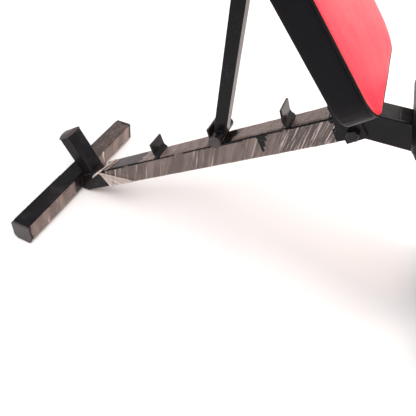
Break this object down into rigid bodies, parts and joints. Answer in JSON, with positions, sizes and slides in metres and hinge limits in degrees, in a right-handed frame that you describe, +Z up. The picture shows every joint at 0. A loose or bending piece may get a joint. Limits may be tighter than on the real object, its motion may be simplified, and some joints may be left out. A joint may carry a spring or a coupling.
{
  "type": "adjustable weight bench",
  "caption": "Adjustable weight bench: tilting backrest held by a strut whose crossbar drops into hooks on a sloping spine, with a level seat on a braced square-tube frame.",
  "frame": {"origin": "middle of the bench's floor outline, on the floor", "axes": "+X from the rear foot towards the seat, +Y to the sitter's left, +Z up"},
  "size_m": [1.0406, 0.5, 0.984],
  "materials": {
    "black_paint": "gloss black powder coat",
    "cap_plastic": "moulded",
    "zinc_steel": "zinc plated",
    "nylon": "moulded",
    "vinyl": "red vinyl face, black vinyl sides",
    "plywood": "unfinished"
  },
  "bodies": {
    "frame": {"rear_foot_tube": "black_paint", "rear_foot_cap_left": "cap_plastic", "rear_foot_cap_right": "cap_plastic", "spine_tube": "black_paint", "seat_beam": "black_paint", "beam_end_cap": "cap_plastic", "front_leg": "black_paint", "leg_gusset": "black_paint", "front_foot_tube": "black_paint", "front_foot_cap_left": "cap_plastic", "front_foot_cap_right": "cap_plastic", "stop_post": "black_paint", "stop_post_cap": "cap_plastic", "hook_rear": "black_paint", "hook_middle": "black_paint", "hook_front": "black_paint", "hinge_bolt": "zinc_steel", "hinge_nut": "zinc_steel", "hinge_washer_left": "zinc_steel", "hinge_washer_right": "zinc_steel", "hinge_bush": "nylon", "seat_rear_plate": "black_paint", "seat_rear_screw_left": "zinc_steel", "seat_rear_screw_right": "zinc_steel", "seat_front_plate": "black_paint", "seat_front_screw_left": "zinc_steel", "seat_front_screw_right": "zinc_steel", "seat_board": "plywood", "seat_cushion": "vinyl"},
    "backrest": {"strut_pivot_bolt": "zinc_steel", "strut_pivot_nut": "zinc_steel", "strut_pivot_washer_left": "zinc_steel", "strut_pivot_washer_right": "zinc_steel", "hinge_cheek_left": "black_paint", "hinge_cheek_right": "black_paint", "backrest_rail_left": "black_paint", "backrest_rail_right": "black_paint", "rail_lower_cap_left": "cap_plastic", "rail_lower_cap_right": "cap_plastic", "rail_upper_cap_left": "cap_plastic", "rail_upper_cap_right": "cap_plastic", "strut_lug_left": "black_paint", "strut_lug_right": "black_paint", "backrest_lower_plate": "black_paint", "backrest_lower_screw_right": "zinc_steel", "backrest_lower_screw_left": "zinc_steel", "backrest_upper_plate": "black_paint", "backrest_upper_screw_right": "zinc_steel", "backrest_upper_screw_left": "zinc_steel", "backrest_board": "plywood", "backrest_cushion": "vinyl"},
    "strut": {"strut_tube": "black_paint", "strut_crossbar": "black_paint", "crossbar_plug_left": "cap_plastic", "crossbar_plug_right": "cap_plastic", "strut_sleeve": "nylon"}
  },
  "joints": [
    {"name": "backrest_recline", "type": "hinge", "parent": "frame", "child": "backrest", "pos_m": [0.13201, 0, 0.40358], "axis": [0, 1, 0], "range_deg": [0, 30]},
    {"name": "strut_swing", "type": "hinge", "parent": "backrest", "child": "strut", "pos_m": [-0.10602, 0, 0.65], "axis": [0, 1, 0], "range_deg": [-12, 0]}
  ],
  "couplings": [
    {"joint": "strut_swing", "follows": "backrest_recline", "ratio": -0.4}
  ]
}
